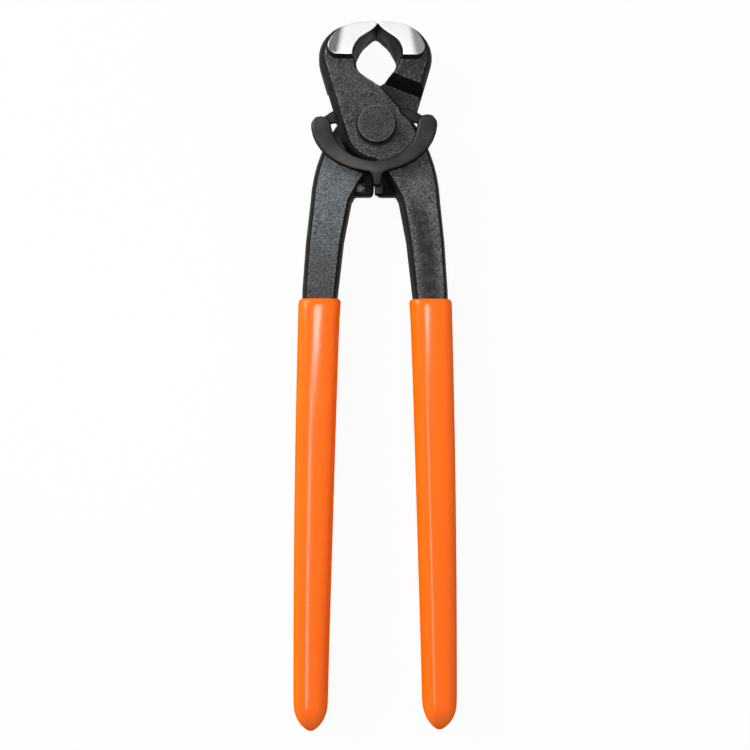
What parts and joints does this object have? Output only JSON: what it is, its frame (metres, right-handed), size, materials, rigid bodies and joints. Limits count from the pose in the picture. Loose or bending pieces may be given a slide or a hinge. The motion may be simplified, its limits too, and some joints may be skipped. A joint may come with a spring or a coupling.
{
  "type": "wire twisting pliers",
  "caption": "Forged end-nipping pliers for twisting and cutting tie wire, with a round throat, bright ground jaw pads, a moulded stop yoke round the pivot and dipped grips.",
  "frame": {"origin": "on the pivot axis, at the end of the rivet's tail, on which the tool lies", "axes": "+Z along the pivot axis out of the tool's front, +Y along the tool from the handles to the jaws, +X to the right seen from the front"},
  "size_m": [0.0578, 0.2479, 0.0242],
  "materials": {
    "forged_steel": "black finished forging with a fine light speckle, bright ground steel on the jaw pads",
    "rivet_steel": "black finished steel, slightly worn at its edges",
    "yoke_moulding": "smooth satin dark grey moulding",
    "orange_plastic": "dipped orange plastic with a soft gloss"
  },
  "bodies": {
    "front_half": {"front_lever": "forged_steel", "right_grip": "orange_plastic", "pivot_rivet": "rivet_steel", "rivet_washer": "rivet_steel", "pivot_bush": "rivet_steel"},
    "rear_half": {"rear_lever": "forged_steel", "left_grip": "orange_plastic"},
    "yoke": {"stop_yoke": "yoke_moulding"}
  },
  "joints": [
    {"name": "pivot", "type": "hinge", "parent": "front_half", "child": "rear_half", "pos_m": [0, 0, 0.0117], "axis": [0, 0, -1], "range_deg": [0, 20]},
    {"name": "yoke_pivot", "type": "hinge", "parent": "front_half", "child": "yoke", "pos_m": [0, 0, 0.0117], "axis": [0, 0, -1], "range_deg": [0, 10]}
  ],
  "couplings": [
    {"joint": "yoke_pivot", "follows": "pivot", "ratio": 0.5}
  ]
}
